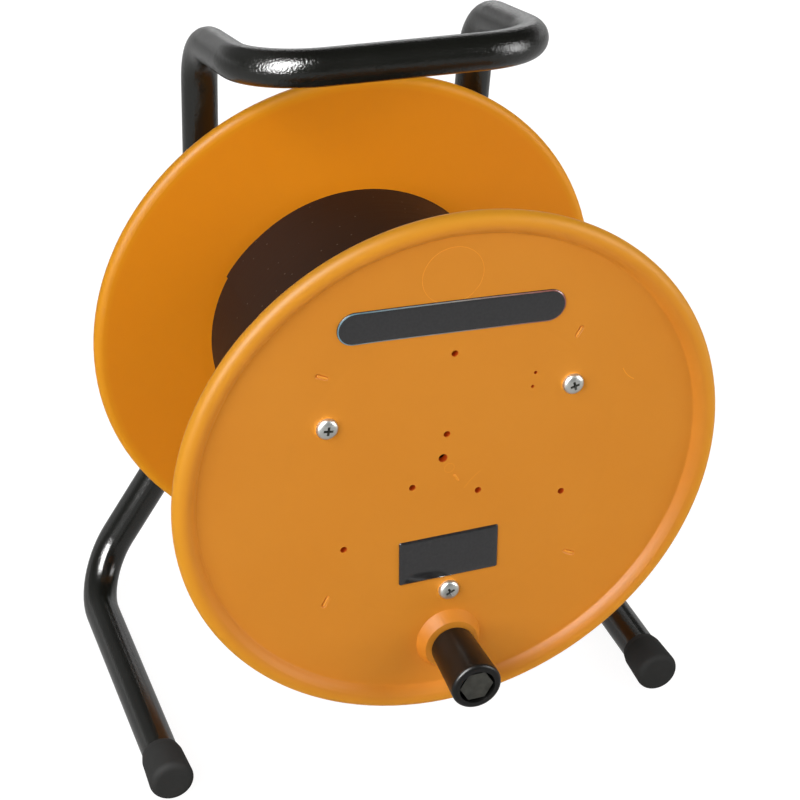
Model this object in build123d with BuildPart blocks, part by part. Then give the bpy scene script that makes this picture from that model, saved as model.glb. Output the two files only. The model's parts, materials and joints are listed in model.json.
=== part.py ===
from build123d import *
import math
import os

# A small cable reel: an orange moulded drum that turns on a stub axle in a bent steel tube stand.
# Millimetres. +Z is up, the drum's front flange faces -Y, and the floor is at Z = 0.
# The origin is on the floor, under the middle of the whole reel.

# Drum: two moulded flanges on a sleeve
flange_diameter = 240.0
flange_thickness = 3.5
winding_width = 126.0
flange_dish = 1.7  # how much further out the rim's foot stands than the flat middle
flat_margin = 5.0  # flat ring round the core before the flange starts to dish
bead_radius = 4.4  # round bead along the rim
bead_turn = 30.0  # degrees past its crest where the bead's flatter inner side starts
bead_width = 10.0
bead_foot_radius = 1.2
core_diameter = 134.0
core_wall = 3.0
lap_step = 0.9  # the sleeve's outer end lies this much proud of the layer below it
lap_length = 24.0
drum_turn = 2.4  # degrees that the drum stands turned on its axle

# Hub and stub axle
axle_height = 155.0
axle_diameter = 12.0
running_fit = 0.05  # radial clearance of a turning fit
end_play = 0.3  # axial clearance of a turning fit
hub_diameter = 34.0
hub_depth = 27.0  # into the drum, from the flange's inner face
hub_rise = 7.7  # out of the drum, from the flange's outer face
hub_rib_count = 6
hub_rib_thickness = 3.0
hub_rib_reach = 50.0
hub_rib_height = 14.0
axle_head_across = 18.0
axle_head_height = 7.5
axle_washer_diameter = 26.0
axle_washer_thickness = 2.5
axle_spacer_diameter = 20.0
axle_nut_height = 8.0
axle_end_stand = 1.5  # bolt that shows past its nut
plate_height = 45.0
plate_thickness = 4.0
seat_gap = 0.1  # between pieces that are fixed to each other

# Screws that hold the flanges on the core
screw_count = 3
screw_circle_radius = 62.0
screw_diameter = 4.6
screw_length = 16.0
screw_point = 1.5
screw_head_diameter = 9.2
screw_head_edge = 1.0
screw_head_height = 3.0
screw_recess_length = 4.4
screw_recess_width = 1.2
screw_recess_depth = 1.7
screw_column_diameter = 9.0

# Small holes in the front flange, as the photo shows them, from the middle of the drum
hole_diameter = 3.0
outer_holes = [(1.2, 55.3), (50.7, -22.6), (-47.0, -30.7)]
inner_holes = [(-1.7, 17.2), (-16.7, -6.2), (12.6, -13.7)]
wide_hole_diameter = 4.0
wide_hole = (-3.3, 5.7)
pin_hole_diameter = 1.6
pin_holes = [(36.9, 39.3), (35.8, 32.8)]

# Shallow grooves in the front flange, just outside the core
groove_count = 4
groove_circle_radius = 78.3
groove_start_angle = 45.0
groove_turn = 17.0  # degrees that each groove is turned from the radial direction
groove_length = 4.8  # of the groove's floor
groove_width = 0.8
groove_depth = 0.6
groove_lean = 50.0  # degrees that the groove's walls lean out

# Winding knob on the front flange
crank_radius = 88.3
knob_seat_diameter = 24.2  # the flat top of the boss
knob_seat_rise = 4.75
knob_seat_taper = 28.6
knob_base_diameter = 19.4
knob_base_radius = 1.2
knob_end_diameter = 22.5
knob_length = 31.0
knob_edge_radius = 1.8
knob_recess_diameter = 16.0
knob_recess_depth = 6.6
knob_bolt_diameter = 8.0
knob_head_across = 13.0
knob_head_height = 5.3
knob_nut_height = 4.0
nut_pocket_depth = 4.2

# Stand: one bent tube, from foot to foot
tube_diameter = 16.0
tube_wall = 1.5
foot_half_spacing = 118.5
left_foot_reach = 58.3  # tube ends, forward of the drum's middle
right_foot_reach = 47.0
knee_depth = 99.0  # behind the drum's middle
knee_bend_radius = 28.0
waist_half_spacing = 61.0  # where the legs meet the uprights
waist_height = 105.0
waist_bend_radius = 36.0
shoulder_half_spacing = 65.0  # top of the uprights
shoulder_height = 289.0
shoulder_depth = 92.0
shoulder_bend_radius = 26.0
handle_height = 307.0
handle_depth = 9.0
handle_bend_radius = 31.0

# Rubber ferrules on the tube ends
cap_end_diameter = 19.8
cap_mouth_diameter = 18.6
cap_mouth_slope = 3.2  # length of the sloped shoulder at the mouth
cap_lip = 0.5  # wall left at the mouth's edge
cap_grip = 17.4
cap_end_wall = 3.5
cap_edge_radius = 3.0
cap_fit = 0.05

# Worked out from the sizes above
flange_radius = flange_diameter / 2
core_radius = core_diameter / 2
tube_radius = tube_diameter / 2
inner_face = winding_width / 2
outer_face = inner_face + flange_thickness
rim_face = outer_face + flange_dish
flat_radius = core_radius + flat_margin
bead_foot = flange_radius - bead_width


def face_rise(radius):
    """How far the dished face stands out from the flat middle, at a radius."""
    return flange_dish * max(0.0, radius - flat_radius) / (bead_foot - flat_radius)


def inner_rise(radius):
    """How far the dished inner face stands out from the flat middle, at a radius."""
    inner_edge = flange_radius - flange_thickness
    return flange_dish * max(0.0, radius - flat_radius) / (inner_edge - flat_radius)


knob_seat_face = outer_face + face_rise(crank_radius) + knob_seat_rise
knob_base_face = knob_seat_face + end_play
knob_end_face = knob_base_face + knob_length

# Centre line of the stand, with Y measured from the drum's middle
knee_height = tube_radius
foot_height = cap_end_diameter / 2
lean = (knee_depth - shoulder_depth) / (shoulder_height - knee_height)


def upright_depth(height):
    """Depth of the leaning plane that the legs and the uprights lie in."""
    return knee_depth - lean * (height - knee_height)


def knee_corner_height(foot_reach):
    """Height of a leg's corner that brings its rounded knee down to the floor."""
    straight_run = foot_reach + knee_depth - knee_bend_radius
    return knee_height - (foot_height - knee_height) * knee_bend_radius / straight_run


def upright_half_spacing(height):
    """Half the distance between the uprights, which close in a little towards the waist."""
    spread = (shoulder_half_spacing - waist_half_spacing) / (shoulder_height - waist_height)
    return waist_half_spacing + spread * (height - waist_height)


def half_frame(side, foot_reach):
    """Corner points from a foot to the handle, on one side."""
    corner_height = knee_corner_height(foot_reach)
    return [
        (side * foot_half_spacing, -foot_reach, foot_height),
        (side * foot_half_spacing, upright_depth(corner_height), corner_height),
        (side * waist_half_spacing, upright_depth(waist_height), waist_height),
        (side * shoulder_half_spacing, shoulder_depth, shoulder_height),
        (side * shoulder_half_spacing, handle_depth, handle_height),
    ]


left_half = half_frame(-1, left_foot_reach)
right_half = half_frame(1, right_foot_reach)
half_bends = [knee_bend_radius, waist_bend_radius, shoulder_bend_radius, handle_bend_radius]
with BuildLine() as centre_line:
    FilletPolyline(*left_half, *reversed(right_half), radius=half_bends + half_bends[::-1])

# The reel reaches from the knob's end to the back of the knees, and its middle is at Y = 0
back_reach = centre_line.line.bounding_box().max.Y + tube_radius
mid_y = (knob_end_face - back_reach) / 2
frame_path = centre_line.line.moved(Location((0, mid_y, 0)))

turn = math.radians(drum_turn)
drum_axis = Axis((0, mid_y, axle_height), (0, 1, 0))
turned_right = (math.cos(turn), 0, math.sin(turn))


def front_plane(out):
    """Plane across the drum, facing forward, at a distance in front of its middle."""
    return Plane((0, mid_y - out, axle_height), x_dir=turned_right, z_dir=(0, -1, 0))


def rear_plane(out):
    """Plane across the drum, facing back, at a distance behind its middle."""
    back_right = (-turned_right[0], 0, -turned_right[2])
    return Plane((0, mid_y + out, axle_height), x_dir=back_right, z_dir=(0, 1, 0))


# The first screw is straight below the axle, in line with the knob
screw_angles = [-90.0 + index * 360.0 / screw_count for index in range(screw_count)]
screw_places = [
    (screw_circle_radius * math.cos(math.radians(angle)), screw_circle_radius * math.sin(math.radians(angle)))
    for angle in screw_angles
]
back_screw_places = [(-across, up) for across, up in screw_places]


def flange_section(outward):
    """Half section of a flange: flat middle, dished plate, round inner edge and bead."""
    with BuildSketch(Plane((0, mid_y, axle_height), x_dir=(1, 0, 0), z_dir=(0, 0, outward))) as section:
        with BuildLine():
            inner = Polyline(
                (0, inner_face),
                (flat_radius, inner_face),
                (flange_radius - flange_thickness, rim_face - flange_thickness),
            )
            edge = TangentArc(inner @ 1, (flange_radius, rim_face), tangent=inner % 1)
            crest = JernArc(edge @ 1, (0, 1), bead_radius, 90 + bead_turn)
            flank = TangentArc(crest @ 1, (bead_foot, rim_face), tangent=crest % 1)
            Polyline(flank @ 1, (flat_radius, outer_face), (0, outer_face), (0, inner_face))
        make_face()
        foot = section.vertices().sort_by_distance((bead_foot, rim_face))[0]
        fillet(foot, bead_foot_radius)
    return section.sketch


os.makedirs("parts", exist_ok=True)

# Stand tube
with BuildPart() as frame_tube:
    with BuildSketch(Plane(frame_path @ 0, z_dir=frame_path % 0)):
        Circle(tube_radius)
        Circle(tube_radius - tube_wall, mode=Mode.SUBTRACT)
    sweep(path=frame_path)
frame_tube.part.label = "frame_tube"
export_step(frame_tube.part, "parts/frame_tube.step")


# Rubber ferrules
def foot_cap(tube_end, leg_direction):
    """A ferrule pushed over a tube end, turned about the leg's line."""
    leg = Axis(tube_end, leg_direction)
    radial = Vector(1, 0, 0)
    with BuildPart() as cap:
        with BuildSketch(Plane(tube_end, x_dir=radial, z_dir=radial.cross(leg_direction))) as section:
            bore = tube_radius + cap_fit
            with BuildLine():
                Polyline(
                    (0, 0),
                    (bore, 0),
                    (bore, -cap_grip),
                    (bore + cap_lip, -cap_grip),
                    (cap_mouth_diameter / 2, cap_mouth_slope - cap_grip),
                    (cap_end_diameter / 2, 0),
                    (cap_end_diameter / 2, cap_end_wall),
                    (0, cap_end_wall),
                    close=True,
                )
            make_face()
            rim = section.vertices().sort_by_distance((cap_end_diameter / 2, cap_end_wall))[0]
            fillet(rim, cap_edge_radius)
        revolve(axis=leg)
    return cap.part


left_cap = foot_cap(frame_path @ 0, -(frame_path % 0))
left_cap.label = "foot_cap_left"
export_step(left_cap, "parts/foot_cap_left.step")
right_cap = foot_cap(frame_path @ 1, frame_path % 1)
right_cap.label = "foot_cap_right"
export_step(right_cap, "parts/foot_cap_right.step")

# Cross bar between the uprights, its ends cut to the tubes
plate_back = upright_depth(axle_height)
plate_front = plate_back - plate_thickness
with BuildPart() as axle_plate:
    with BuildSketch(Plane((0, mid_y + plate_back, axle_height), x_dir=(1, 0, 0), z_dir=(0, -1, 0))):
        Rectangle(2 * upright_half_spacing(axle_height), plate_height)
        Circle(axle_diameter / 2 + seat_gap, mode=Mode.SUBTRACT)
    extrude(amount=plate_thickness)
    for side in (-1, 1):
        low = Vector(side * waist_half_spacing, mid_y + upright_depth(waist_height), waist_height)
        high = Vector(side * shoulder_half_spacing, mid_y + shoulder_depth, shoulder_height)
        with BuildSketch(Plane(low, z_dir=high - low)):
            Circle(tube_radius + seat_gap)
        extrude(amount=(high - low).length, mode=Mode.SUBTRACT)
axle_plate.part.label = "axle_plate"
export_step(axle_plate.part, "parts/axle_plate.step")

# Stub axle: a hexagon bolt from inside the drum, through the hub, a spacer and the cross bar
hub_front = inner_face - hub_depth
hub_back = outer_face + hub_rise
washer_back = hub_front - end_play
washer_front = washer_back - axle_washer_thickness
bolt_end = plate_back + axle_nut_height + axle_end_stand
axle_clearance_radius = axle_diameter / 2 + seat_gap

with BuildPart() as axle_bolt:
    with BuildSketch(rear_plane(washer_front)):
        RegularPolygon(axle_head_across / 2, 6, major_radius=False)
    extrude(amount=-axle_head_height)
    with BuildSketch(rear_plane(washer_front)):
        Circle(axle_diameter / 2)
    extrude(amount=bolt_end - washer_front)
    chamfer(axle_bolt.edges().sort_by(Axis.Y)[-1], axle_end_stand / 2)
axle_bolt.part.label = "axle_bolt"
export_step(axle_bolt.part, "parts/axle_bolt.step")

with BuildPart() as axle_washer:
    with BuildSketch(rear_plane(washer_front)):
        Circle(axle_washer_diameter / 2)
        Circle(axle_clearance_radius, mode=Mode.SUBTRACT)
    extrude(amount=axle_washer_thickness)
axle_washer.part.label = "axle_washer"
export_step(axle_washer.part, "parts/axle_washer.step")

with BuildPart() as axle_spacer:
    with BuildSketch(rear_plane(hub_back + end_play)):
        Circle(axle_spacer_diameter / 2)
        Circle(axle_clearance_radius, mode=Mode.SUBTRACT)
    extrude(amount=plate_front - hub_back - end_play)
axle_spacer.part.label = "axle_spacer"
export_step(axle_spacer.part, "parts/axle_spacer.step")

with BuildPart() as axle_nut:
    with BuildSketch(rear_plane(plate_back)):
        RegularPolygon(axle_head_across / 2, 6, major_radius=False)
        Circle(axle_clearance_radius, mode=Mode.SUBTRACT)
    extrude(amount=axle_nut_height)
axle_nut.part.label = "axle_nut"
export_step(axle_nut.part, "parts/axle_nut.step")

# Rear flange with its ribbed hub
with BuildPart() as rear_flange:
    revolve(flange_section(1).faces(), axis=drum_axis)
    with BuildSketch(rear_plane(inner_face)):
        with PolarLocations(0, hub_rib_count):
            Rectangle(hub_rib_reach, hub_rib_thickness, align=(Align.MIN, Align.CENTER))
    extrude(amount=-hub_rib_height)
    with BuildSketch(rear_plane(hub_front)):
        Circle(hub_diameter / 2)
    extrude(amount=hub_back - hub_front)
    with BuildSketch(rear_plane(hub_front)):
        Circle(axle_diameter / 2 + running_fit)
    extrude(amount=hub_back - hub_front, mode=Mode.SUBTRACT)
    with BuildSketch(rear_plane(inner_face)):
        with Locations(*back_screw_places):
            Circle(screw_diameter / 2 + seat_gap)
    extrude(amount=flange_thickness, mode=Mode.SUBTRACT)
rear_flange.part.label = "rear_flange"
export_step(rear_flange.part, "parts/rear_flange.step")

# Front flange with the seat of the winding knob and the small holes
knob_place = (0, -crank_radius)
seat_height = knob_seat_face - outer_face
seat_foot_radius = knob_seat_diameter / 2 + seat_height * math.tan(math.radians(knob_seat_taper))
pocket_floor = inner_face + inner_rise(crank_radius) + nut_pocket_depth
groove_floor = outer_face + face_rise(groove_circle_radius) - groove_depth
with BuildPart() as front_flange:
    revolve(flange_section(-1).faces(), axis=drum_axis)
    with BuildSketch(front_plane(outer_face)):
        with Locations(knob_place):
            Circle(seat_foot_radius)
    extrude(amount=seat_height, taper=knob_seat_taper)
    with BuildSketch(front_plane(inner_face)):
        with Locations(knob_place):
            Circle(knob_bolt_diameter / 2 + seat_gap)
    extrude(amount=knob_seat_face - inner_face, mode=Mode.SUBTRACT)
    with BuildSketch(front_plane(inner_face)):
        with Locations(knob_place):
            RegularPolygon(knob_head_across / 2 + seat_gap, 6, major_radius=False)
    extrude(amount=pocket_floor - inner_face, mode=Mode.SUBTRACT)
    with BuildSketch(front_plane(inner_face)):
        with Locations(*screw_places):
            Circle(screw_diameter / 2 + seat_gap)
        with Locations(*outer_holes, *inner_holes):
            Circle(hole_diameter / 2)
        with Locations(wide_hole):
            Circle(wide_hole_diameter / 2)
        with Locations(*pin_holes):
            Circle(pin_hole_diameter / 2)
    extrude(amount=flange_thickness, mode=Mode.SUBTRACT)
    with BuildSketch(front_plane(groove_floor)):
        with PolarLocations(groove_circle_radius, groove_count, start_angle=groove_start_angle):
            SlotOverall(groove_length, groove_width, rotation=groove_turn)
    extrude(amount=flange_thickness / 2, taper=-groove_lean, mode=Mode.SUBTRACT)
front_flange.part.label = "front_flange"
export_step(front_flange.part, "parts/front_flange.step")

# Sleeve of the drum, with its lap seam and the three screw columns inside
lap_angle = screw_angles[2]
lap_turn = math.degrees(lap_length / core_radius)


def on_core(radius, angle):
    """A point of the sleeve's section, by radius and angle."""
    return (radius * math.cos(math.radians(angle)), radius * math.sin(math.radians(angle)))


with BuildPart() as drum_core:
    with BuildSketch(front_plane(-inner_face)):
        Circle(core_radius)
        with BuildLine():
            lap_top = ThreePointArc(
                on_core(core_radius + lap_step, lap_angle),
                on_core(core_radius + lap_step / 2, lap_angle - lap_turn / 2),
                on_core(core_radius, lap_angle - lap_turn),
            )
            Polyline(lap_top @ 1, on_core(core_radius - core_wall / 2, lap_angle - lap_turn / 2), lap_top @ 0)
        make_face()
        Circle(core_radius - core_wall, mode=Mode.SUBTRACT)
        with Locations(*screw_places):
            Circle(screw_column_diameter / 2)
            Circle(screw_diameter / 2 + seat_gap, mode=Mode.SUBTRACT)
    extrude(amount=winding_width)
drum_core.part.label = "drum_core"
export_step(drum_core.part, "parts/drum_core.step")


# Pan head screws with a cross recess
def pan_screw(seat):
    """A screw whose head sits on a plane, with its shank going in against the plane's normal."""
    head_radius = screw_head_diameter / 2
    shank_radius = screw_diameter / 2
    with BuildPart() as screw:
        with BuildSketch(Plane(seat.origin, x_dir=seat.x_dir, z_dir=seat.x_dir.cross(seat.z_dir))):
            with BuildLine():
                side = Polyline(
                    (0, -screw_length),
                    (shank_radius - screw_point, -screw_length),
                    (shank_radius, screw_point - screw_length),
                    (shank_radius, 0),
                    (head_radius, 0),
                    (head_radius, screw_head_edge),
                )
                dome = TangentArc((0, screw_head_height), side @ 1, tangent=(1, 0))
                Line(dome @ 0, side @ 0)
            make_face()
        revolve(axis=Axis(seat.origin, seat.z_dir))
        with BuildSketch(seat.offset(screw_head_height)):
            Rectangle(screw_recess_length, screw_recess_width)
            Rectangle(screw_recess_width, screw_recess_length)
        extrude(amount=-screw_recess_depth, mode=Mode.SUBTRACT)
    return screw.part


def flange_screws(flange_plane, places, name):
    """The numbered screws of one flange."""
    for number, place in enumerate(places, start=1):
        seat = Plane(flange_plane.from_local_coords(place), x_dir=flange_plane.x_dir, z_dir=flange_plane.z_dir)
        screw = pan_screw(seat)
        screw.label = f"{name}_{number}"
        export_step(screw, f"parts/{screw.label}.step")


flange_screws(front_plane(outer_face), screw_places, "front_screw")
flange_screws(rear_plane(outer_face), back_screw_places, "rear_screw")

# Winding knob, its bolt and the nut in the back of the flange
knob_plane = front_plane(knob_base_face)
knob_centre = knob_plane.from_local_coords(knob_place)
knob_section = Plane(knob_centre, x_dir=knob_plane.x_dir, z_dir=knob_plane.x_dir.cross(knob_plane.z_dir))
knob_axis = Axis(knob_centre, knob_plane.z_dir)
recess_floor = knob_length - knob_recess_depth
with BuildPart() as winding_knob:
    with BuildSketch(knob_section) as section:
        with BuildLine():
            Polyline(
                (knob_bolt_diameter / 2 + running_fit, 0),
                (knob_base_diameter / 2, 0),
                (knob_end_diameter / 2, knob_length),
                (knob_recess_diameter / 2, knob_length),
                (knob_recess_diameter / 2, recess_floor),
                (knob_bolt_diameter / 2 + running_fit, recess_floor),
                close=True,
            )
        make_face()
        end_edge = section.vertices().sort_by_distance((knob_end_diameter / 2, knob_length))[0]
        fillet(end_edge, knob_edge_radius)
        base_edge = section.vertices().sort_by_distance((knob_base_diameter / 2, 0))[0]
        fillet(base_edge, knob_base_radius)
    revolve(axis=knob_axis)
winding_knob.part.label = "winding_knob"
export_step(winding_knob.part, "parts/winding_knob.step")

head_seat = knob_base_face + recess_floor + end_play
nut_back = pocket_floor - knob_nut_height
with BuildPart() as knob_bolt:
    with BuildSketch(front_plane(head_seat)):
        with Locations(knob_place):
            RegularPolygon(knob_head_across / 2, 6, major_radius=False)
    extrude(amount=knob_head_height)
    with BuildSketch(front_plane(nut_back)):
        with Locations(knob_place):
            Circle(knob_bolt_diameter / 2)
    extrude(amount=head_seat - nut_back)
knob_bolt.part.label = "knob_bolt"
export_step(knob_bolt.part, "parts/knob_bolt.step")

with BuildPart() as knob_nut:
    with BuildSketch(front_plane(nut_back)):
        with Locations(knob_place):
            RegularPolygon(knob_head_across / 2, 6, major_radius=False)
            Circle(knob_bolt_diameter / 2 + seat_gap, mode=Mode.SUBTRACT)
    extrude(amount=knob_nut_height)
knob_nut.part.label = "knob_nut"
export_step(knob_nut.part, "parts/knob_nut.step")
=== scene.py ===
# %% [markdown]
# This lesson dresses an empty cable reel: an orange moulded drum that turns in a bent tube stand.
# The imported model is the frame. Its solids already have their true shapes and sizes, so most of
# the work is their finish, and the thin things on them that are too small for the solids.

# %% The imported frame
import json
from math import atan2, cos, hypot, pi, radians, sin, sqrt, tau

import bmesh
import bpy
from mathutils import Matrix, Vector


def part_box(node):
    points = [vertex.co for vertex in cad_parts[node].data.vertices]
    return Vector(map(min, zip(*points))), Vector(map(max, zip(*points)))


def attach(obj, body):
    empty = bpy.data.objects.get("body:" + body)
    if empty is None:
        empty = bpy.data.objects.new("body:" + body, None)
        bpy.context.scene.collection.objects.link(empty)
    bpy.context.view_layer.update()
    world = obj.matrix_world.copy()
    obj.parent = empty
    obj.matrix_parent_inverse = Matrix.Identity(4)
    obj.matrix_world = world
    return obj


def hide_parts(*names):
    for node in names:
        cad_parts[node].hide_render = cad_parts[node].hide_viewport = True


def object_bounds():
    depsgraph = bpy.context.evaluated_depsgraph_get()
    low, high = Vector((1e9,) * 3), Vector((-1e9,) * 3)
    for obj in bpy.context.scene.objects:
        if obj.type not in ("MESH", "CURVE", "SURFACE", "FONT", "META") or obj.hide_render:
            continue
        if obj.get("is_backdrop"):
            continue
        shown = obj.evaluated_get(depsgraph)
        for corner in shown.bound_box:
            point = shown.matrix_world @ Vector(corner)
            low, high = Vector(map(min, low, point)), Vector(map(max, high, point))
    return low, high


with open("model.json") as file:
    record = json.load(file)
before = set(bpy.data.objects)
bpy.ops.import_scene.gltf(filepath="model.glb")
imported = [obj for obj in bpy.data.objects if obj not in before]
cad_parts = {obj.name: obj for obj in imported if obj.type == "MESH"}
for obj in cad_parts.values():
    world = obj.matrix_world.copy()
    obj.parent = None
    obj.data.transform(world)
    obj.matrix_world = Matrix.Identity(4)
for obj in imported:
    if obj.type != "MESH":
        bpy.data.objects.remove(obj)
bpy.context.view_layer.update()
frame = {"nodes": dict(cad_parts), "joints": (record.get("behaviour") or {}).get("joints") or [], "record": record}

nodes = frame["nodes"]

# %% [markdown]
# All lengths are metres, so a millimetre gets a name. The axle, the knob and the turn of the drum
# come from the joints, and the front face from the sleeve's end, so nothing has to be fitted by eye.

# %% Places on the drum
MM = 0.001
joints = {joint["name"]: joint for joint in frame["joints"]}
axle = Vector(joints["drum_spin"]["pos_m"])
knob_middle = Vector(joints["knob_spin"]["pos_m"])
drum_turn = atan2(knob_middle.x - axle.x, axle.z - knob_middle.z)
flange_thickness = 3.5 * MM
face_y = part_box("drum_core")[0].y - flange_thickness
print("drum turned by", round(drum_turn * 360 / tau, 2), "degrees, front face at", round(face_y, 4))

# %% [markdown]
# The front flange is a shallow dish: flat as far as the core, then rising a little to the rim.
# Thin pieces are drawn flat, with the drum's middle as their zero, lifted by the same rise,
# and then stood up on the face in one move.

# %% Seating a thin piece on the front face
flat_radius = 72.0 * MM
bead_foot_radius = 110.0 * MM
flange_dish = 1.7 * MM
stand_up = Matrix.Rotation(pi / 2, 4, "X")
face_place = Matrix.Translation((axle.x, face_y, axle.z)) @ Matrix.Rotation(-drum_turn, 4, "Y") @ stand_up


def face_rise(radius):
    """How far the dished face stands out from its flat middle."""
    return flange_dish * max(0.0, radius - flat_radius) / (bead_foot_radius - flat_radius)


def seat_on_face(bm, across=0.0, up=0.0, turn=0.0):
    """Move a flat shape to its place, lift it with the dish and stand it up on the face."""
    bmesh.ops.rotate(bm, cent=(0, 0, 0), matrix=Matrix.Rotation(turn, 3, "Z"), verts=bm.verts)
    bmesh.ops.translate(bm, vec=(across, up, 0), verts=bm.verts)
    for vert in bm.verts:
        vert.co.z += face_rise(hypot(vert.co.x, vert.co.y))
    bmesh.ops.transform(bm, matrix=face_place, verts=bm.verts)


tolerance = 0.001 * MM
sharp_angle = radians(40)


def make_piece(bm, name, body, slot, *materials):
    """Close and turn out a bmesh, and make it a piece that rides on a body."""
    bmesh.ops.remove_doubles(bm, verts=bm.verts, dist=tolerance)
    bmesh.ops.recalc_face_normals(bm, faces=bm.faces)
    mesh = bpy.data.meshes.new(name)
    bm.to_mesh(mesh)
    bm.free()
    for material in materials:
        mesh.materials.append(material)
    mesh.shade_smooth()
    mesh.set_sharp_from_angle(angle=sharp_angle)
    piece = bpy.data.objects.new(name, mesh)
    bpy.context.scene.collection.objects.link(piece)
    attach(piece, body)
    print(name, "with", len(mesh.polygons), "faces")
    return piece


# %% [markdown]
# Colours are written as on a paint card, in sRGB hex, and the shader needs them linear.
# One small function adds a node: settings first, then its inputs, as values or as links.
# A real moulded grain is finer than a pixel of the picture, so the finest grains below are drawn
# 0.7 to 0.9 mm wide, which is as coarse as they need to be to show.

# %% Helpers for materials
def linear(code):
    """An sRGB hex colour as linear red, green, blue and alpha."""
    parts = [int(code[i:i + 2], 16) / 255 for i in (1, 3, 5)]
    curve = [c / 12.92 if c <= 0.04045 else ((c + 0.055) / 1.055) ** 2.4 for c in parts]
    return (*curve, 1.0)


def add(tree, kind, inputs=None, **settings):
    """Add a node with its settings, and set or link the inputs that are given."""
    node = tree.nodes.new(kind)
    for name, value in settings.items():
        setattr(node, name, value)
    for name, value in (inputs or {}).items():
        if isinstance(value, bpy.types.NodeSocket):
            tree.links.new(value, node.inputs[name])
        else:
            node.inputs[name].default_value = value
    return node


def new_material(name):
    """An empty material and its node tree."""
    material = bpy.data.materials.new(name)
    material.use_nodes = True
    material.node_tree.nodes.clear()
    return material, material.node_tree


def per(size_mm):
    """Texture scale that gives features of about this size."""
    return 1 / (size_mm * MM)


# %% [markdown]
# The flanges are injection moulded in orange polypropylene. Seen close, the colour drifts a little
# where the melt flowed, and the mould leaves a very fine grain with a satin gloss.
# The rim and the small holes carry painted light. The thin rolled rim is painted yellower than the rest,
# a painted glow for the light that shines through it, and the walls of the small holes are painted red
# and made to glow a little, for the light that seeps through to them. The rear flange gets a brighter,
# redder copy of the orange, painted light for the glow that bounces between the flanges.

# %% Orange polypropylene
rim_starts = 114.0 * MM
rim_ends = 118.5 * MM
holes_within = 66.0 * MM
hole_mouth = 0.1 * MM
hole_shade = 0.8 * MM


def orange_polypropylene(name, deep, pale):
    """Satin moulded plastic with slow drifts of colour, a fine grain, a painted glow on the rim and painted red
    glow in the holes.
    """
    material, tree = new_material(name)
    place = add(tree, "ShaderNodeTexCoord").outputs["Object"]
    flow = add(tree, "ShaderNodeTexNoise", {"Vector": place, "Scale": per(55), "Detail": 3.0})
    grain = add(tree, "ShaderNodeTexNoise", {"Vector": place, "Scale": per(0.9), "Detail": 2.0})
    orange = add(
        tree, "ShaderNodeMix",
        {0: flow.outputs["Fac"], 6: linear(deep), 7: linear(pale)}, data_type="RGBA",
    )
    from_axle = add(tree, "ShaderNodeVectorMath", {0: place, 1: tuple(axle)}, operation="SUBTRACT")
    flat = add(
        tree, "ShaderNodeVectorMath",
        {0: from_axle.outputs["Vector"], 1: (1, 0, 1)}, operation="MULTIPLY",
    )
    radius = add(tree, "ShaderNodeVectorMath", {0: flat.outputs["Vector"]}, operation="LENGTH")
    rim = add(
        tree, "ShaderNodeMapRange",
        {"Value": radius.outputs["Value"], "From Min": rim_starts, "From Max": rim_ends, "To Max": 0.55},
    )
    # painted glow: the rim is painted yellower, standing in for light that shines through it
    rim_painted_glow = add(
        tree, "ShaderNodeMix",
        {0: rim.outputs["Result"], 6: orange.outputs[2], 7: linear("#FFB21A")}, data_type="RGBA",
    )
    depth = add(tree, "ShaderNodeSeparateXYZ", {"Vector": place}).outputs["Y"]
    sunk = add(
        tree, "ShaderNodeMapRange",
        {"Value": depth, "From Min": face_y + hole_mouth, "From Max": face_y + hole_shade},
    )
    in_wall = add(
        tree, "ShaderNodeMath",
        {0: depth, 1: face_y + flange_thickness - hole_mouth}, operation="LESS_THAN",
    )
    in_middle = add(
        tree, "ShaderNodeMath",
        {0: radius.outputs["Value"], 1: holes_within}, operation="LESS_THAN",
    )
    in_both = add(
        tree, "ShaderNodeMath",
        {0: in_wall.outputs[0], 1: in_middle.outputs[0]}, operation="MULTIPLY",
    )
    # painted glow: the hole walls are painted red and emit a little, standing in for light seeping through
    hole_painted_glow_mask = add(
        tree, "ShaderNodeMath",
        {0: sunk.outputs["Result"], 1: in_both.outputs[0]}, operation="MULTIPLY",
    )
    colour = add(
        tree, "ShaderNodeMix",
        {0: hole_painted_glow_mask.outputs[0], 6: rim_painted_glow.outputs[2], 7: linear("#C8480A")}, data_type="RGBA",
    )
    hole_painted_glow = add(tree, "ShaderNodeMath", {0: hole_painted_glow_mask.outputs[0], 1: 0.22}, operation="MULTIPLY")
    gloss = add(
        tree, "ShaderNodeMapRange",
        {"Value": grain.outputs["Fac"], "To Min": 0.4, "To Max": 0.5},
    )
    bump = add(
        tree, "ShaderNodeBump",
        {"Height": grain.outputs["Fac"], "Strength": 0.2, "Distance": 0.03 * MM},
    )
    shader = add(tree, "ShaderNodeBsdfPrincipled", {
        "Base Color": colour.outputs[2],
        "Roughness": gloss.outputs["Result"],
        "IOR": 1.49,
        "Specular IOR Level": 0.14,
        "Emission Color": linear("#8A3A08"),
        "Emission Strength": hole_painted_glow.outputs[0],
        "Normal": bump.outputs["Normal"],
    })
    add(tree, "ShaderNodeOutputMaterial", {"Surface": shader.outputs["BSDF"]})
    return material


# %% [markdown]
# The stand is steel tube with a thick gloss powder coat. The powder melts to a skin with a slight
# orange peel, so a lamp's reflection is bright but has a ragged edge. The peel is deep on the handle
# and gets shallower down the legs.

# %% Black powder coat
shallow_peel = 0.09 * MM
deep_peel = 0.19 * MM
shallow_below = 150.0 * MM
deep_above = 270.0 * MM


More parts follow.
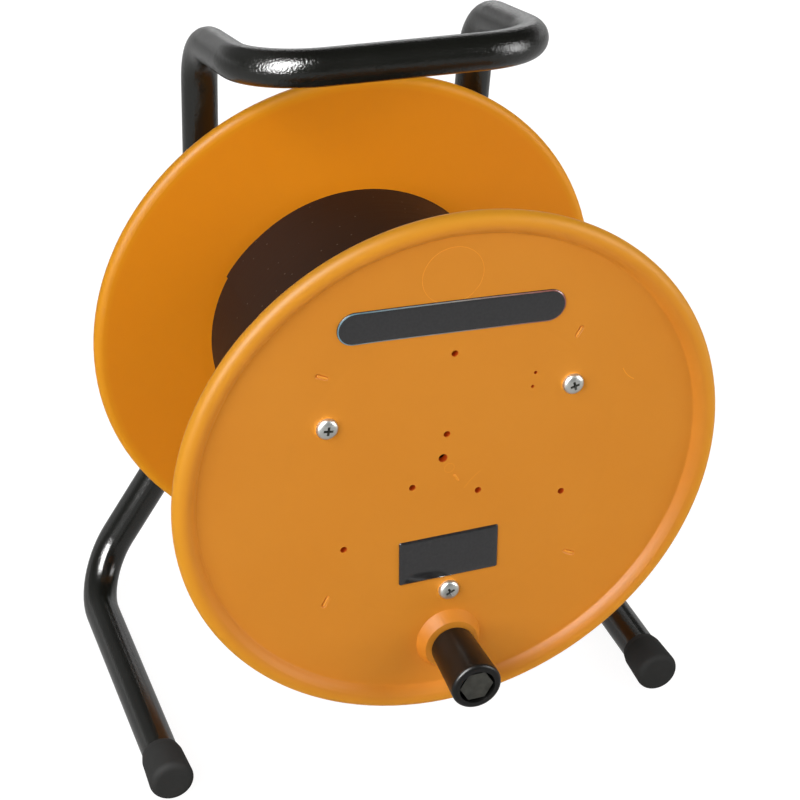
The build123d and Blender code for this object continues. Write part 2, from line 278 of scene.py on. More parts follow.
def black_powder_coat():
    """Gloss black skin whose orange peel breaks up the edges of reflections."""
    material, tree = new_material("black_powder_coat")
    place = add(tree, "ShaderNodeTexCoord").outputs["Object"]
    peel = add(tree, "ShaderNodeTexNoise", {"Vector": place, "Scale": per(0.9), "Detail": 1.0})
    cloud = add(tree, "ShaderNodeTexNoise", {"Vector": place, "Scale": per(30), "Detail": 2.0})
    colour = add(
        tree, "ShaderNodeMix",
        {0: cloud.outputs["Fac"], 6: linear("#12130F"), 7: linear("#1C1D18")}, data_type="RGBA",
    )
    gloss = add(
        tree, "ShaderNodeMapRange",
        {"Value": cloud.outputs["Fac"], "To Min": 0.16, "To Max": 0.26},
    )
    height = add(tree, "ShaderNodeSeparateXYZ", {"Vector": place}).outputs["Z"]
    depth = add(
        tree, "ShaderNodeMapRange",
        {
            "Value": height, "From Min": shallow_below, "From Max": deep_above,
            "To Min": shallow_peel, "To Max": deep_peel,
        },
    )
    bump = add(
        tree, "ShaderNodeBump",
        {"Height": peel.outputs["Fac"], "Strength": 1.0, "Distance": depth.outputs["Result"]},
    )
    shader = add(tree, "ShaderNodeBsdfPrincipled", {
        "Base Color": colour.outputs[2],
        "Roughness": gloss.outputs["Result"],
        "IOR": 1.5,
        "Normal": bump.outputs["Normal"],
    })
    add(tree, "ShaderNodeOutputMaterial", {"Surface": shader.outputs["BSDF"]})
    return material


# %% [markdown]
# The ferrules are moulded rubber, matt and a little dusty, paler where the bloom comes out.

# %% Ferrule rubber
def ferrule_rubber():
    """Matt dark grey with a pale bloom in patches and a slightly pitted skin."""
    material, tree = new_material("ferrule_rubber")
    place = add(tree, "ShaderNodeTexCoord").outputs["Object"]
    bloom = add(tree, "ShaderNodeTexNoise", {"Vector": place, "Scale": per(9), "Detail": 4.0})
    pits = add(tree, "ShaderNodeTexNoise", {"Vector": place, "Scale": per(0.8), "Detail": 2.0})
    colour = add(
        tree, "ShaderNodeMix",
        {0: bloom.outputs["Fac"], 6: linear("#181816"), 7: linear("#262624")}, data_type="RGBA",
    )
    bump = add(
        tree, "ShaderNodeBump",
        {"Height": pits.outputs["Fac"], "Strength": 0.5, "Distance": 0.08 * MM},
    )
    shader = add(tree, "ShaderNodeBsdfPrincipled", {
        "Base Color": colour.outputs[2],
        "Roughness": 0.8,
        "IOR": 1.52,
        "Specular IOR Level": 0.2,
        "Normal": bump.outputs["Normal"],
    })
    add(tree, "ShaderNodeOutputMaterial", {"Surface": shader.outputs["BSDF"]})
    return material


# %% [markdown]
# The drum's sleeve is black sheet, wrapped round and lapped. Handling has left fine rub lines
# round it, and dust settles on it as pale specks.

# %% Black sleeve
def black_sleeve():
    """Satin black sheet tinted brown, a painted orange bounce from the flanges, with rub lines round the drum and
    a few pale specks of dust.
    """
    material, tree = new_material("black_polystyrene_sheet")
    place = add(tree, "ShaderNodeTexCoord").outputs["Object"]
    round_drum = add(
        tree, "ShaderNodeMapping", {"Vector": place, "Scale": (per(60), per(0.9), per(60))},
    )
    rubs = add(
        tree, "ShaderNodeTexNoise",
        {"Vector": round_drum.outputs["Vector"], "Scale": 1.0, "Detail": 3.0},
    )
    specks = add(tree, "ShaderNodeTexVoronoi", {"Vector": place, "Scale": per(5)})
    dust = add(
        tree, "ShaderNodeMapRange",
        {
            "Value": specks.outputs["Distance"], "From Min": 0.06, "From Max": 0.09,
            "To Min": 0.35, "To Max": 0.0,
        },
    )
    # painted reflection: the black is tinted brown for orange light bounced from the flanges; the rub lines that
    # mix it are real
    black_with_painted_bounce = add(
        tree, "ShaderNodeMix",
        {0: rubs.outputs["Fac"], 6: linear("#24130A"), 7: linear("#321C0F")}, data_type="RGBA",
    )
    colour = add(
        tree, "ShaderNodeMix",
        {0: dust.outputs["Result"], 6: black_with_painted_bounce.outputs[2], 7: linear("#8A8178")}, data_type="RGBA",
    )
    gloss = add(
        tree, "ShaderNodeMapRange",
        {"Value": rubs.outputs["Fac"], "To Min": 0.42, "To Max": 0.6},
    )
    bump = add(
        tree, "ShaderNodeBump",
        {"Height": rubs.outputs["Fac"], "Strength": 0.2, "Distance": 0.05 * MM},
    )
    shader = add(tree, "ShaderNodeBsdfPrincipled", {
        "Base Color": colour.outputs[2],
        "Roughness": gloss.outputs["Result"],
        "IOR": 1.55,
        "Specular IOR Level": 0.14,
        "Normal": bump.outputs["Normal"],
    })
    add(tree, "ShaderNodeOutputMaterial", {"Surface": shader.outputs["BSDF"]})
    return material


# %% [markdown]
# The knob is a black nylon sleeve. Hands have polished it, so its gloss comes and goes.

# %% Black nylon
def black_nylon():
    """Satin black with a soft patchy polish and a fine moulded skin."""
    material, tree = new_material("black_nylon_moulded")
    place = add(tree, "ShaderNodeTexCoord").outputs["Object"]
    polish = add(tree, "ShaderNodeTexNoise", {"Vector": place, "Scale": per(7), "Detail": 3.0})
    skin = add(tree, "ShaderNodeTexNoise", {"Vector": place, "Scale": per(0.8), "Detail": 2.0})
    colour = add(
        tree, "ShaderNodeMix",
        {0: polish.outputs["Fac"], 6: linear("#0C0C0A"), 7: linear("#141311")}, data_type="RGBA",
    )
    gloss = add(
        tree, "ShaderNodeMapRange",
        {"Value": polish.outputs["Fac"], "To Min": 0.28, "To Max": 0.42},
    )
    bump = add(
        tree, "ShaderNodeBump",
        {"Height": skin.outputs["Fac"], "Strength": 0.3, "Distance": 0.05 * MM},
    )
    shader = add(tree, "ShaderNodeBsdfPrincipled", {
        "Base Color": colour.outputs[2],
        "Roughness": gloss.outputs["Result"],
        "IOR": 1.53,
        "Specular IOR Level": 0.25,
        "Normal": bump.outputs["Normal"],
    })
    add(tree, "ShaderNodeOutputMaterial", {"Surface": shader.outputs["BSDF"]})
    return material


# %% [markdown]
# Two metals are left: the screws and the axle's pieces are bright zinc plate, and the knob's bolt
# is blackened in an oil bath. Plate has faint cloudy tints, and the black wears on it in patches.

# %% Zinc plate and blackened steel
def zinc_plate():
    """Bright plating with faint warm and cool clouds in it."""
    material, tree = new_material("bright_zinc_plate")
    place = add(tree, "ShaderNodeTexCoord").outputs["Object"]
    tint = add(tree, "ShaderNodeTexNoise", {"Vector": place, "Scale": per(4), "Detail": 3.0})
    colour = add(
        tree, "ShaderNodeMix",
        {0: tint.outputs["Fac"], 6: linear("#B9BDBD"), 7: linear("#CFCEC6")}, data_type="RGBA",
    )
    gloss = add(
        tree, "ShaderNodeMapRange",
        {"Value": tint.outputs["Fac"], "To Min": 0.3, "To Max": 0.42},
    )
    shader = add(tree, "ShaderNodeBsdfPrincipled", {
        "Base Color": colour.outputs[2],
        "Metallic": 1.0,
        "Roughness": gloss.outputs["Result"],
    })
    add(tree, "ShaderNodeOutputMaterial", {"Surface": shader.outputs["BSDF"]})
    return material


def blackened_steel():
    """Dull black oxide on steel, thin in places."""
    material, tree = new_material("blackened_steel")
    place = add(tree, "ShaderNodeTexCoord").outputs["Object"]
    oxide = add(tree, "ShaderNodeTexNoise", {"Vector": place, "Scale": per(3), "Detail": 4.0})
    colour = add(
        tree, "ShaderNodeMix",
        {0: oxide.outputs["Fac"], 6: linear("#3C3C39"), 7: linear("#5E5E58")}, data_type="RGBA",
    )
    gloss = add(
        tree, "ShaderNodeMapRange",
        {"Value": oxide.outputs["Fac"], "To Min": 0.38, "To Max": 0.55},
    )
    shader = add(tree, "ShaderNodeBsdfPrincipled", {
        "Base Color": colour.outputs[2],
        "Metallic": 1.0,
        "Roughness": gloss.outputs["Result"],
    })
    add(tree, "ShaderNodeOutputMaterial", {"Surface": shader.outputs["BSDF"]})
    return material


# %% [markdown]
# A screw's recess is given painted shade, so it stays dark however bright the plate is.

# %% Painted shade in the recesses
def painted_recess_shade():
    """Painted shade on plate: dark, uneven and only a little shiny."""
    material, tree = new_material("zinc_plate_painted_recess_shade")
    place = add(tree, "ShaderNodeTexCoord").outputs["Object"]
    recess_mottle = add(tree, "ShaderNodeTexNoise", {"Vector": place, "Scale": per(0.7), "Detail": 3.0})
    colour = add(
        tree, "ShaderNodeMix",
        {0: recess_mottle.outputs["Fac"], 6: linear("#20211A"), 7: linear("#5A5B50")}, data_type="RGBA",
    )
    shader = add(tree, "ShaderNodeBsdfPrincipled", {
        "Base Color": colour.outputs[2],
        "Roughness": 0.5,
        "IOR": 1.47,
    })
    add(tree, "ShaderNodeOutputMaterial", {"Surface": shader.outputs["BSDF"]})
    return material


# %% [markdown]
# The labels are printed film under a dome of clear resin. They are left bare here, so what shows
# is the black film, the gloss of the resin and a thin printed line along the edge of the long one.

# %% Label resin and its printed line
line_reach = 48.0 * MM


def label_resin():
    """Black film under clear resin: deep black with a sharp, slightly wavy gloss."""
    material, tree = new_material("black_label_under_resin")
    place = add(tree, "ShaderNodeTexCoord").outputs["Object"]
    flow = add(tree, "ShaderNodeTexNoise", {"Vector": place, "Scale": per(12), "Detail": 1.0})
    film = add(tree, "ShaderNodeTexNoise", {"Vector": place, "Scale": per(1.2), "Detail": 3.0})
    colour = add(
        tree, "ShaderNodeMix",
        {0: film.outputs["Fac"], 6: linear("#2A2A2B"), 7: linear("#363637")}, data_type="RGBA",
    )
    bump = add(
        tree, "ShaderNodeBump",
        {"Height": flow.outputs["Fac"], "Strength": 0.3, "Distance": 0.1 * MM},
    )
    shader = add(tree, "ShaderNodeBsdfPrincipled", {
        "Base Color": colour.outputs[2],
        "Roughness": 0.3,
        "Specular IOR Level": 0.0,
        "Coat Weight": 1.0,
        "Coat Roughness": 0.04,
        "Normal": bump.outputs["Normal"],
        "Coat Normal": bump.outputs["Normal"],
    })
    add(tree, "ShaderNodeOutputMaterial", {"Surface": shader.outputs["BSDF"]})
    return material


def printed_line():
    """Ink under the same resin: it runs from pale blue to red and is a little uneven."""
    material, tree = new_material("coloured_ink_under_resin")
    place = add(tree, "ShaderNodeTexCoord").outputs["Object"]
    ink = add(tree, "ShaderNodeTexNoise", {"Vector": place, "Scale": per(6), "Detail": 3.0})
    across = add(tree, "ShaderNodeSeparateXYZ", {"Vector": place})
    along = add(
        tree, "ShaderNodeMapRange",
        {"Value": across.outputs["X"], "From Min": -line_reach, "From Max": line_reach},
    )
    ramp = add(tree, "ShaderNodeValToRGB", {"Fac": along.outputs["Result"]})
    ramp.color_ramp.elements[0].color = linear("#7FAFC0")
    ramp.color_ramp.elements[1].color = linear("#B4462C")
    ramp.color_ramp.elements.new(0.5).color = linear("#B4AFA8")
    worn = add(
        tree, "ShaderNodeMix",
        {0: ink.outputs["Fac"], 6: linear("#A8A8A8"), 7: linear("#FFFFFF")}, data_type="RGBA",
    )
    colour = add(
        tree, "ShaderNodeMix", {0: 1.0, 6: ramp.outputs["Color"], 7: worn.outputs[2]},
        data_type="RGBA", blend_type="MULTIPLY",
    )
    shader = add(tree, "ShaderNodeBsdfPrincipled", {
        "Base Color": colour.outputs[2],
        "Roughness": 0.35,
        "IOR": 1.5,
        "Coat Weight": 1.0,
        "Coat Roughness": 0.04,
    })
    add(tree, "ShaderNodeOutputMaterial", {"Surface": shader.outputs["BSDF"]})
    return material


# %% [markdown]
# On the raised mould lines and in the slots this paler orange is a painted highlight, where the plastic catches
# the light.
# A knock makes it pale too, because the stressed plastic fills with tiny cracks.

# %% Pale plastic
def highlight_and_whitening_plastic():
    """The same orange made paler and a little rough: a painted highlight on raised lines, real whitening where
    stressed.
    """
    material, tree = new_material("orange_polypropylene_pale_highlight_and_whitening")
    place = add(tree, "ShaderNodeTexCoord").outputs["Object"]
    pale_mottle = add(tree, "ShaderNodeTexNoise", {"Vector": place, "Scale": per(0.8), "Detail": 2.0})
    colour = add(
        tree, "ShaderNodeMix",
        {0: pale_mottle.outputs["Fac"], 6: linear("#FBA021"), 7: linear("#FDAC34")}, data_type="RGBA",
    )
    shader = add(tree, "ShaderNodeBsdfPrincipled", {
        "Base Color": colour.outputs[2],
        "Roughness": 0.6,
        "IOR": 1.49,
        "Specular IOR Level": 0.2,
    })
    add(tree, "ShaderNodeOutputMaterial", {"Surface": shader.outputs["BSDF"]})
    return material


# %% [markdown]
# Every solid keeps its mesh and only changes its finish. The record already says which finish each
# solid has, so one table from its slots to the new materials dresses them all.

# %% Dressing the solids
finishes = {
    "orange_plastic": orange_polypropylene("orange_polypropylene_moulded", "#E48E27", "#E9962F"),
    "powder_coated_steel": black_powder_coat(),
    "rubber": ferrule_rubber(),
    "black_sleeve": black_sleeve(),
    "knob_plastic": black_nylon(),
    "blackened_steel": blackened_steel(),
    "zinc_plated_steel": zinc_plate(),
}
for subpart in frame["record"]["subparts"]:
    for material_slot in nodes[subpart["node"]].material_slots:
        material_slot.material = finishes[subpart["material_slot"]]
    print(subpart["node"], "is", finishes[subpart["material_slot"]].name)
# painted light: the rear flange gets a brighter, redder copy of the orange, for the light that bounces between the
# flanges
rear_painted_bounce_orange = orange_polypropylene("orange_polypropylene_rear_painted_bounce", "#F6920A", "#F89810")
for material_slot in nodes["rear_flange"].material_slots:
    material_slot.material = rear_painted_bounce_orange
print("rear_flange is", rear_painted_bounce_orange.name)

# %% [markdown]
# A resin label is a flat outline that swells to a dome at its edge. One could sculpt it, but insets
# are simpler: each one is a contour line of the dome, a little further in and a little higher.
# The band between two contours can take another material, which is how the line is printed.

# %% Domed patches
contour_steps = 8
base_depth = 0.1 * MM


def stadium(length, width):
    """A flat face with two straight sides and two half round ends."""
    bm = bmesh.new()
    segments = 48
    half_step = Matrix.Rotation(tau / segments / 2, 4, "Z")
    bmesh.ops.create_circle(bm, cap_ends=True, segments=segments, radius=width / 2, matrix=half_step)
    for vert in bm.verts:
        vert.co.x += (length - width) / 2 * (1 if vert.co.x > 0 else -1)
    return bm


def rectangle(length, width):
    """A flat face with four square corners."""
    bm = bmesh.new()
    bmesh.ops.create_grid(bm, x_segments=1, y_segments=1, size=0.5)
    bmesh.ops.scale(bm, vec=(length, width, 1), verts=bm.verts)
    return bm


def dome(bm, rise, edge, line=()):
    """Raise a flat face to a patch that domes up over its edge, with a printed band if one is given."""
    bmesh.ops.translate(bm, vec=(0, 0, -base_depth), verts=bm.verts)
    raised = bmesh.ops.extrude_face_region(bm, geom=bm.faces[:])["geom"]
    top = [part for part in raised if isinstance(part, bmesh.types.BMFace)]
    wall = rise / 4
    bmesh.ops.translate(bm, vec=(0, 0, base_depth + wall), verts=top[0].verts)
    contours = [edge * (1 - cos(tau / 4 * step / contour_steps)) for step in range(1, contour_steps + 1)]
    reached = 0.0
    height = 0.0
    for distance in sorted(contours + list(line)):
        next_height = (rise - wall) * sqrt(1 - (1 - distance / edge) ** 2)
        band = bmesh.ops.inset_region(
            bm, faces=top, thickness=distance - reached, depth=next_height - height,
        )["faces"]
        if line and line[0] < (distance + reached) / 2 < line[1]:
            for face in band:
                face.material_index = 1
        reached, height = distance, next_height


def round_corners(bm, radius):
    """Round a domed rectangle along its four corners, from the foot to the top of the dome."""
    corners = []
    for corner_edge in bm.edges:
        run = corner_edge.verts[1].co - corner_edge.verts[0].co
        if (abs(run.x) > tolerance) == (abs(run.y) > tolerance):
            corners.append(corner_edge)
    bmesh.ops.bevel(
        bm, geom=corners, offset=radius, offset_type="OFFSET", affect="EDGES",
        segments=6, profile=0.5, material=-1,
    )


# %% [markdown]
# The long label lies across the step from flat to dish, so it has to bend with the face.
# It is cut into narrow strips first, because a flat top with no cuts has nothing to bend.

# %% Labels
long_label_length = 98.0 * MM
long_label_width = 15.0 * MM
square_label_length = 44.6 * MM
square_label_width = 21.8 * MM
label_rise = 1.3 * MM
label_across = -0.25 * MM
strip_count = 24
resin = label_resin()
ink = printed_line()

long_label = stadium(long_label_length, long_label_width)
dome(long_label, label_rise, edge=6.5 * MM, line=(0.1 * MM, 0.6 * MM))
for strip in range(1, strip_count):
    cut = long_label_length * (strip / strip_count - 0.5)
    bmesh.ops.bisect_plane(
        long_label, geom=long_label.verts[:] + long_label.edges[:] + long_label.faces[:],
        dist=tolerance, plane_co=(cut, 0, 0), plane_no=(1, 0, 0),
    )
seat_on_face(long_label, across=label_across, up=73.0 * MM, turn=radians(-3.2))
make_piece(long_label, "label_long", "drum", "orange_plastic", resin, ink)

square_label = rectangle(square_label_length, square_label_width)
dome(square_label, label_rise, edge=7.0 * MM)
round_corners(square_label, radius=0.8 * MM)
seat_on_face(square_label, across=label_across, up=-44.0 * MM)
make_piece(square_label, "label_square", "drum", "orange_plastic", resin)

# %% [markdown]
# Moulds leave thin raised lines where their inserts meet. Each is a small six sided section,
# half sunk in the face, that a spin carries round a circle. They and the sprue mark are coloured
# pale orange, a painted highlight where they catch the light.

# %% Raised mould lines
def raised_line(radius, width, height, start=0.0, sweep=tau):
    """A low ridge along a circle or along a part of it."""
    bm = bmesh.new()
    bmesh.ops.create_circle(bm, segments=6, radius=0.5)
    bmesh.ops.scale(bm, vec=(width, height, 1), verts=bm.verts)
    bmesh.ops.transform(bm, matrix=Matrix.Translation((radius, 0, 0)) @ stand_up, verts=bm.verts)
    bmesh.ops.rotate(bm, cent=(0, 0, 0), matrix=Matrix.Rotation(start, 3, "Z"), verts=bm.verts)
    steps = max(8, round(96 * abs(sweep) / tau))
    bmesh.ops.spin(
        bm, geom=bm.verts[:] + bm.edges[:], cent=(0, 0, 0), axis=(0, 0, 1), angle=sweep,
        steps=steps, use_merge=sweep == tau,
    )
    bmesh.ops.holes_fill(bm, edges=bm.edges[:], sides=0)
    return bm


# pale orange: a painted highlight on the mould lines and slots, real whitening on the knocks
pale = highlight_and_whitening_plastic()
stamp_ring = raised_line(radius=13.0 * MM, width=0.22 * MM, height=0.16 * MM)
seat_on_face(stamp_ring, across=-0.5 * MM, up=92.1 * MM)
make_piece(stamp_ring, "mould_stamp_ring", "drum", "orange_plastic", pale)

gate_ring = raised_line(radius=2.2 * MM, width=0.14 * MM, height=0.1 * MM)
seat_on_face(gate_ring, across=-0.45 * MM, up=0.33 * MM)
make_piece(gate_ring, "mould_gate_ring", "drum", "orange_plastic", pale)

sprue = stadium(length=4.2 * MM, width=1.0 * MM)
dome(sprue, rise=0.5 * MM, edge=0.45 * MM)
seat_on_face(sprue, across=2.75 * MM, up=-5.15 * MM, turn=radians(-60.7))
make_piece(sprue, "mould_sprue_mark", "drum", "orange_plastic", pale)

# %% [markdown]
# A thin pale domed bar lies against one wall of each of the four slots, just below the face: a painted
# highlight on the wall the light falls on. All four lie to the same side of their slots.

# %% Painted highlights in the slots
slot_count = 4
slot_circle_radius = 78.3 * MM
slot_start = radians(45)
slot_turn = radians(17)
slot_highlight_shift = Vector((0.3, -0.25, -0.42)) * MM
for number in range(slot_count):
    slot_angle = slot_start + number * tau / slot_count
    slot_highlight_strip = stadium(length=5.0 * MM, width=1.0 * MM)
    dome(slot_highlight_strip, rise=0.4 * MM, edge=0.45 * MM)
    along_slot = Matrix.Rotation(slot_angle + slot_turn, 3, "Z")
    bmesh.ops.rotate(slot_highlight_strip, cent=(0, 0, 0), matrix=along_slot, verts=slot_highlight_strip.verts)
    bmesh.ops.translate(slot_highlight_strip, vec=slot_highlight_shift, verts=slot_highlight_strip.verts)
    slot_across = slot_circle_radius * cos(slot_angle)
    slot_up = slot_circle_radius * sin(slot_angle)
    seat_on_face(slot_highlight_strip, across=slot_across, up=slot_up)
    make_piece(slot_highlight_strip, "slot_painted_highlight_" + str(number + 1), "drum", "orange_plastic", pale)

# %% [markdown]
# A drum in use gets knocked. A nick near the rim and a fine scratch in the middle have gone pale,
# and each is a short piece of the same kind of line.

# %% Knocks
nick = raised_line(
    radius=11.3 * MM, width=0.4 * MM, height=0.15 * MM, start=radians(-161), sweep=radians(42),
)
seat_on_face(nick, across=86.9 * MM, up=37.8 * MM)
make_piece(nick, "flange_nick", "drum", "orange_plastic", pale)

scratch = raised_line(
    radius=30.0 * MM, width=0.16 * MM, height=0.05 * MM, start=radians(125), sweep=radians(20),
)
seat_on_face(scratch, across=30.8 * MM, up=-28.5 * MM)
make_piece(scratch, "flange_scratch", "drum", "orange_plastic", pale)

# %% [markdown]
# The flanges are held by pan head screws. A punch forges the head and strikes a cross into it.
# The head grows from a short cylinder: each inset of its top is drawn to the next ring of the crown,
# and the last rings take the outline of the cross and go down into it.

# %% Screws
screw_radius = 4.6 * MM
screw_edge = 0.8 * MM
screw_head = 3.0 * MM
screw_shank = 2.3 * MM
cross_arm = 2.05 * MM
cross_half_width = 0.55 * MM
shoulder_power = 2.6
crown_rings = (0.985, 0.95, 0.9, 0.83, 0.74, 0.62, 0.52)
cross_rings = ((1.0, 0.0), (0.9, 0.5 * MM), (0.45, 1.7 * MM))
first_inset = 0.01 * MM


def crown_height(radius):
    """Height of the crown over its seat: a flat top with a round shoulder."""
    fall = (1 - (radius / screw_radius) ** shoulder_power) ** (1 / shoulder_power)
    return screw_edge + (screw_head - screw_edge) * fall


def cross_reach(angle):
    """How far the cross reaches from its middle in one direction."""
    off_arm = abs((angle + pi / 4) % (pi / 2) - pi / 4)
    return min(cross_arm / cos(off_arm), cross_half_width / max(sin(off_arm), 0.01))


def pan_head_screw(shank_length):
    """A screw that stands on its seat at zero, with the recess as its second material."""
    bm = bmesh.new()
    bmesh.ops.create_cone(
        bm, cap_ends=True, segments=48, radius1=screw_radius, radius2=screw_radius, depth=screw_edge,
        matrix=Matrix.Translation((0, 0, screw_edge / 2)),
    )
    top = max(bm.faces, key=lambda face: face.calc_center_median().z)
    for share in crown_rings:
        bmesh.ops.inset_region(bm, faces=[top], thickness=first_inset)
        for vert in top.verts:
            ring = vert.co.xy.normalized() * screw_radius * share
            vert.co = (*ring, crown_height(ring.length))
    for share, depth in cross_rings:
        band = bmesh.ops.inset_region(bm, faces=[top], thickness=first_inset)["faces"]
        for vert in top.verts:
            ring = vert.co.xy.normalized() * cross_reach(atan2(vert.co.y, vert.co.x)) * share
            vert.co = (*ring, crown_height(ring.length) - depth)
        if depth:
            for face in [*band, top]:
                face.material_index = 1
    bmesh.ops.create_cone(
        bm, cap_ends=True, segments=24, radius1=screw_shank / 3, radius2=screw_shank, depth=shank_length,
        matrix=Matrix.Translation((0, 0, -shank_length / 2)),
    )
    return bm


# painted shade for the screw recesses
recess_shade = painted_recess_shade()
plate = finishes["zinc_plated_steel"]
front_degrees = {"front_screw_1": 28, "front_screw_2": 16, "front_screw_3": -6}
rear_degrees = 50
for node in [name for name in nodes if "_screw_" in name]:
    low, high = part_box(node)
    on_front = node.startswith("front")
    tilt = Matrix.Rotation(pi / 2 if on_front else -pi / 2, 4, "X")
    seat_y = low.y + screw_head if on_front else high.y - screw_head
    place = Matrix.Translation(((low.x + high.x) / 2, seat_y, (low.z + high.z) / 2))
    screw = pan_head_screw(high.y - low.y - screw_head)
    turn = Matrix.Rotation(radians(front_degrees.get(node, rear_degrees)), 4, "Z")
    bmesh.ops.transform(screw, matrix=place @ tilt @ turn, verts=screw.verts)
    piece = make_piece(screw, node + "_crossed", "drum", "zinc_plated_steel", plate, recess_shade)
    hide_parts(node)

# %% [markdown]
# The knob turns on a bolt whose hexagon head sits in the knob's end. A bolt maker turns a cone on
# the head after it is forged, which leaves a round top and a curved edge on each flat.
# The top is cut into short edges, drawn in to a circle, and the corners drop along the cone.

# %% Knob bolt
bolt_low, bolt_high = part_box("knob_bolt")
head_across = 13.0 * MM
head_height = 5.3 * MM
shank_radius = 4.0 * MM
top_radius = 0.47 * head_across
cone_slope = 0.58

bolt = bmesh.new()
corner_radius = head_across / sqrt(3)
bmesh.ops.create_cone(
    bolt, cap_ends=True, segments=6, radius1=corner_radius, radius2=corner_radius, depth=head_height,
    matrix=Matrix.Translation((0, 0, -head_height / 2)) @ Matrix.Rotation(radians(30), 4, "Z"),
)
top_face = max(bolt.faces, key=lambda face: face.calc_center_median().z)
bmesh.ops.subdivide_edges(bolt, edges=top_face.edges[:], cuts=7)
top_face = max(bolt.faces, key=lambda face: face.calc_center_median().z)
rim = top_face.verts[:]
bmesh.ops.inset_region(bolt, faces=[top_face], thickness=0.2 * MM)
for vert in top_face.verts:
    vert.co.xy = vert.co.xy.normalized() * top_radius
for vert in rim:
    vert.co.z -= cone_slope * (vert.co.xy.length - top_radius)
shank_length = bolt_high.y - bolt_low.y - head_height
bmesh.ops.create_cone(
    bolt, cap_ends=True, segments=32, radius1=shank_radius, radius2=shank_radius, depth=shank_length,
    matrix=Matrix.Translation((0, 0, -head_height - shank_length / 2)),
)
bolt_end = Matrix.Translation((knob_middle.x, bolt_low.y, knob_middle.z))
with_drum = Matrix.Rotation(-drum_turn, 4, "Y")
bmesh.ops.transform(bolt, matrix=bolt_end @ with_drum @ stand_up, verts=bolt.verts)
knob_bolt = make_piece(bolt, "knob_bolt_chamfered", "drum", "blackened_steel", finishes["blackened_steel"])
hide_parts("knob_bolt")

# %% [markdown]
# A pale floor carries the reel. The camera sees a floor that glows a little, so that it reads as
# white paper, and it still takes the reel's shadow. Mirror reflections see it less bright.

# %% Floor
paper_glow = 0.94
mirrored_glow = 0.4
shade_tone = (0.2, 0.2, 0.2, 1.0)
floor_reach = 6.0
white = (1.0, 1.0, 1.0, 1.0)


def white_paper():
    """White paper sweep: bright to the eye, plain white to the light that bounces off it."""
    material, tree = new_material("white_paper_sweep")
    place = add(tree, "ShaderNodeTexCoord").outputs["Object"]
    pulp = add(tree, "ShaderNodeTexNoise", {"Vector": place, "Scale": per(300), "Detail": 2.0})
    tone = add(
        tree, "ShaderNodeMix",
        {0: pulp.outputs["Fac"], 6: linear("#E6E6E6"), 7: linear("#EAEAEA")}, data_type="RGBA",
    )
    path = add(tree, "ShaderNodeLightPath")
    seen = add(
        tree, "ShaderNodeMath",
        {0: path.outputs["Is Camera Ray"], 1: path.outputs["Is Glossy Ray"]}, operation="MAXIMUM",
    )
    seen = add(
        tree, "ShaderNodeMath",
        {0: seen.outputs[0], 1: path.outputs["Is Transmission Ray"]}, operation="MAXIMUM",
    )
    level = add(
        tree, "ShaderNodeMapRange",
        {"Value": path.outputs["Is Glossy Ray"], "To Min": paper_glow, "To Max": mirrored_glow},
    )
    paper = add(tree, "ShaderNodeBsdfDiffuse", {"Color": tone.outputs[2]})
    shade = add(tree, "ShaderNodeBsdfDiffuse", {"Color": shade_tone})
    glow = add(tree, "ShaderNodeEmission", {"Color": white, "Strength": level.outputs["Result"]})
    bright = add(tree, "ShaderNodeAddShader", {0: shade.outputs["BSDF"], 1: glow.outputs["Emission"]})
    mixed = add(
        tree, "ShaderNodeMixShader",
        {0: seen.outputs[0], 1: paper.outputs["BSDF"], 2: bright.outputs["Shader"]},
    )
    add(tree, "ShaderNodeOutputMaterial", {"Surface": mixed.outputs["Shader"]})
    return material


floor_mesh = bmesh.new()
bmesh.ops.create_grid(floor_mesh, x_segments=8, y_segments=8, size=floor_reach)
mesh = bpy.data.meshes.new("floor")
floor_mesh.to_mesh(mesh)
floor_mesh.free()
mesh.materials.append(white_paper())
floor = bpy.data.objects.new("floor", mesh)
bpy.context.scene.collection.objects.link(floor)
floor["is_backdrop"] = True
print("floor of", round(floor.dimensions.x), "metres")

# %% [markdown]
# A studio has a white sweep behind the object, a pale wall at its left, and is dark elsewhere.
# The camera sees plain white, a mirror reflection sees the sweep and the wall where they stand,
# and the soft light that fills the shadows is even.

# %% World
fill_level = 0.1
wall_level = 0.3
dark_level = 0.05
backdrop_level = 0.95
world = bpy.data.worlds.new("studio")
bpy.context.scene.world = world
world.use_nodes = True
tree = world.node_tree
tree.nodes.clear()
path = add(tree, "ShaderNodeLightPath")
direction = add(tree, "ShaderNodeTexCoord").outputs["Generated"]
parts = add(tree, "ShaderNodeSeparateXYZ", {"Vector": direction})
behind = add(
    tree, "ShaderNodeMapRange",
    {"Value": parts.outputs["Y"], "From Min": 0.0, "From Max": 0.5},
)
sweep_height = add(
    tree, "ShaderNodeMapRange",
    {"Value": parts.outputs["Z"], "From Min": 0.05, "From Max": 0.3, "To Min": 1.0, "To Max": 0.0},
)
left = add(
    tree, "ShaderNodeMapRange",
    {
        "Value": parts.outputs["X"], "From Min": -0.3, "From Max": 0.1,
        "To Min": wall_level, "To Max": dark_level,
    },
)
studio = add(
    tree, "ShaderNodeMath",
    {0: sweep_height.outputs["Result"], 1: left.outputs["Result"]}, operation="MAXIMUM",
)
mirrored = add(
    tree, "ShaderNodeMix",
    {0: behind.outputs["Result"], 2: dark_level, 3: studio.outputs[0]}, data_type="FLOAT",
)
light = add(
    tree, "ShaderNodeMix",
    {0: path.outputs["Is Glossy Ray"], 2: fill_level, 3: mirrored.outputs[0]}, data_type="FLOAT",
)
seen = add(
    tree, "ShaderNodeMath",
    {0: path.outputs["Is Camera Ray"], 1: path.outputs["Is Transmission Ray"]}, operation="MAXIMUM",
)
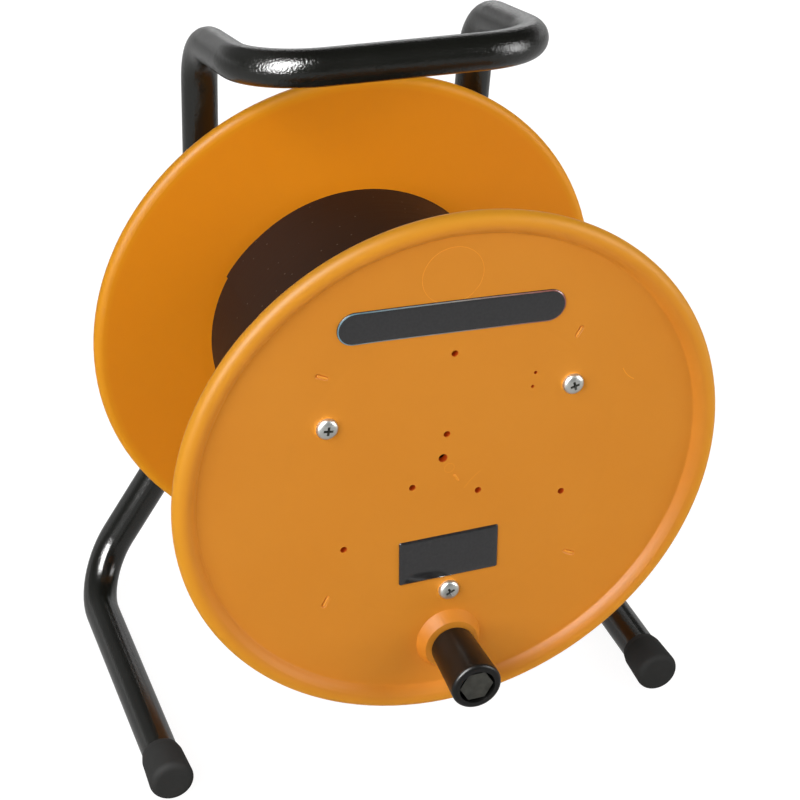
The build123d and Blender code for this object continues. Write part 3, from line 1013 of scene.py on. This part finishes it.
strength = add(
    tree, "ShaderNodeMix",
    {0: seen.outputs[0], 2: light.outputs[0], 3: backdrop_level}, data_type="FLOAT",
)
sky = add(tree, "ShaderNodeBackground", {"Color": white, "Strength": strength.outputs[0]})
add(tree, "ShaderNodeOutputWorld", {"Surface": sky.outputs["Background"]})
print("world fill", fill_level)

# %% [markdown]
# Two soft boxes stand left and right of the camera, the left one stronger, and a weak third one lights
# the back. A box is a pair of area lamps, one close behind the other: the rear one gives the light, and
# the front one is what a glossy surface mirrors. Kept apart, the light can stay plain while the
# highlights are as bright as in a studio. The left box mirrors as a tall strip.

# %% Lamps
light_distance = 1.2
shine_distance = 1.19


def area_lamp(name, direction, distance, width, height, radiance):
    """A rectangular lamp that faces the drum from a direction."""
    away = Vector(direction).normalized()
    lamp = bpy.data.lights.new(name, "AREA")
    lamp.shape = "RECTANGLE"
    lamp.size, lamp.size_y = width, height
    lamp.energy = radiance * pi * width * height
    holder = bpy.data.objects.new(name, lamp)
    holder.location = axle + distance * away
    holder.rotation_euler = away.to_track_quat("Z", "Y").to_euler()
    bpy.context.scene.collection.objects.link(holder)
    print(name, "at", [round(value, 2) for value in holder.location], round(lamp.energy, 1), "W")
    return holder


def soft_box(name, light, shine):
    """A lamp for the light and one for the reflections: direction, width, height and brightness of each."""
    area_lamp(name + "_light", light[0], light_distance, *light[1:]).visible_glossy = False
    area_lamp(name + "_shine", shine[0], shine_distance, *shine[1:]).visible_diffuse = False


soft_box("key", ((-0.75, -0.58, 0.5), 0.75, 1.05, 3.95), ((-0.77, -0.56, 0.67), 0.55, 1.25, 38.0))
soft_box("fill", ((0.78, -0.46, 0.3), 1.0, 1.05, 2.1), ((0.78, -0.46, 0.3), 0.5, 0.75, 10.0))
soft_box("back", ((0.3, 0.85, 0.35), 1.0, 1.0, 2.0), ((0.3, 0.85, 0.35), 0.6, 0.6, 1.0))

# %% [markdown]
# The camera stands where the photographer stood: in front, a little to the left, looking down.
# Its place is given from the drum's middle, and its aim as heading, pitch and a small roll.

# %% Camera
camera_place = Vector((-315.2, -832.1, 531.0)) * MM
heading = radians(20.83)
pitch = radians(31.09)
roll = radians(2.86)
camera_data = bpy.data.cameras.new("camera")
camera_data.lens = 106.3
camera_data.sensor_width = 36.0
camera = bpy.data.objects.new("camera", camera_data)
look = Matrix.Rotation(-heading, 4, "Z") @ Matrix.Rotation(pi / 2 - pitch, 4, "X")
aim = look @ Matrix.Rotation(roll, 4, "Z")
camera.matrix_world = Matrix.Translation(axle + camera_place) @ aim
bpy.context.scene.collection.objects.link(camera)
bpy.context.scene.camera = camera
bpy.context.scene.view_settings.view_transform = "Standard"
print("camera at", [round(value, 3) for value in camera.location])

# %% [markdown]
# The dressed reel's box is measured and printed in millimetres. The dressed reel has to stay
# inside the imported model's box.

# %% Size
low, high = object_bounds()
print("visual box in mm:", [round(1000 * side, 1) for side in high - low])
